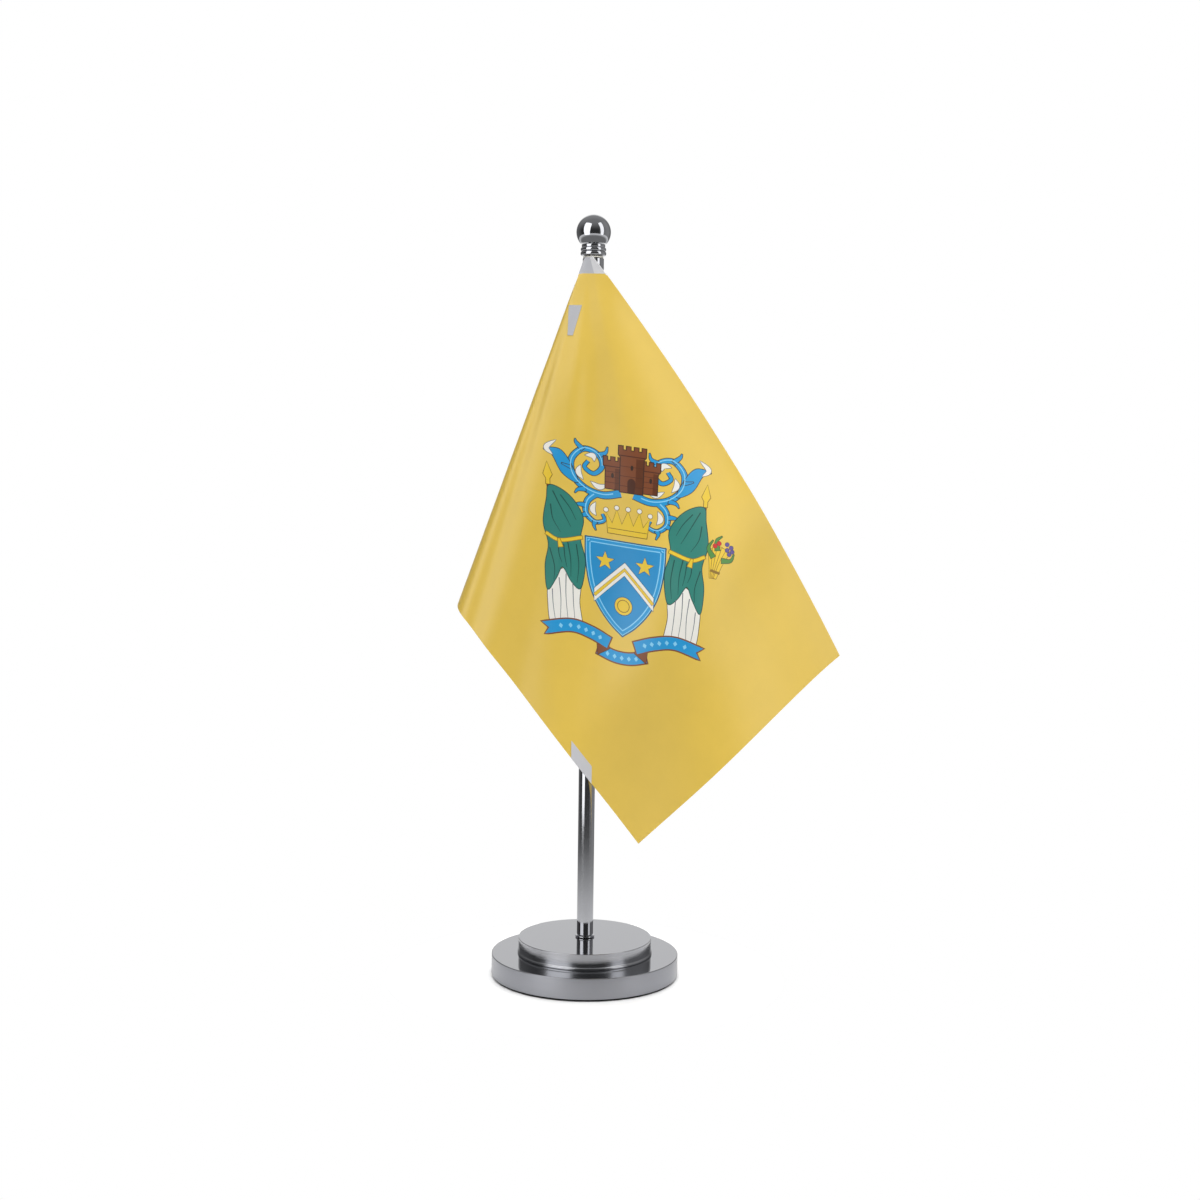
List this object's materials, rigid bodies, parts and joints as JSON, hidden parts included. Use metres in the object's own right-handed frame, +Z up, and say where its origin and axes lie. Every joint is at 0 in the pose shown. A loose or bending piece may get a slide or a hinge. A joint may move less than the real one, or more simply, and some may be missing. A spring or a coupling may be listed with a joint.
{
  "type": "desk flag stand",
  "caption": "Desk flag stand: stepped round steel base, screwed-in steel pole with a ball finial, and a gold satin flag hanging from its top corner.",
  "frame": {"origin": "centre of the foot pad's underside", "axes": "+Z up along the pole, +X to the flag's fly side, +Y to the back"},
  "size_m": [0.1656, 0.08, 0.3227],
  "materials": {
    "black_rubber": "matt black rubber",
    "satin_steel": "satin stainless steel with a fine turned grain",
    "turned_steel": "satin top and polished rim, stainless steel",
    "polished_steel": "polished stainless steel",
    "cast_iron": "bare cast iron, not seen",
    "zinc_steel": "zinc-plated steel",
    "natural_nylon": "natural nylon",
    "gold_satin": "printed gold polyester satin, soft sheen",
    "grey_satin": "unprinted light grey polyester satin"
  },
  "bodies": {
    "base": {"foot_pad": "black_rubber", "base_lower_cover": "satin_steel", "base_lower_ballast": "cast_iron", "base_upper_cover": "turned_steel", "base_upper_ballast": "cast_iron", "base_screw": "zinc_steel", "base_screw_washer": "zinc_steel", "base_locknut": "zinc_steel"},
    "pole_seat": {"pole_foot_washer": "polished_steel"},
    "pole": {"pole_rod": "polished_steel", "finial_ferrule": "polished_steel"},
    "finial_seat": {"finial_washer": "natural_nylon"},
    "finial": {"finial_collar": "polished_steel", "finial_ball": "polished_steel", "finial_stud": "zinc_steel"},
    "stop_ring": {"sleeve_stop_ring": "black_rubber"},
    "flag": {"flag_cloth": "gold_satin", "flag_sleeve": "grey_satin", "flag_keeper": "grey_satin", "flag_keeper_patch": "grey_satin", "flag_label": "grey_satin"}
  },
  "joints": [
    {"name": "pole_unscrew", "type": "hinge", "parent": "base", "child": "pole_seat", "pos_m": [0, 0, 0.0166], "axis": [0, 0, 1], "range_deg": [0, 2880]},
    {"name": "pole_rise", "type": "slide", "parent": "pole_seat", "child": "pole", "axis": [0, 0, 1], "range_m": [0, 0.0056]},
    {"name": "finial_unscrew", "type": "hinge", "parent": "pole", "child": "finial_seat", "pos_m": [0, 0, 0.3049], "axis": [0, 0, 1], "range_deg": [0, 2880]},
    {"name": "finial_rise", "type": "slide", "parent": "finial_seat", "child": "finial", "axis": [0, 0, 1], "range_m": [0, 0.0056]},
    {"name": "flag_drop", "type": "slide", "parent": "pole", "child": "stop_ring", "axis": [0, 0, -1], "range_m": [0, 0.035]},
    {"name": "flag_swivel", "type": "hinge", "parent": "stop_ring", "child": "flag", "pos_m": [0, 0, 0.168], "axis": [0, 0, 1], "continuous": true}
  ],
  "couplings": [
    {"joint": "pole_unscrew", "follows": "pole_rise", "rad_per_m": 8975.9},
    {"joint": "finial_unscrew", "follows": "finial_rise", "rad_per_m": 8975.9}
  ]
}
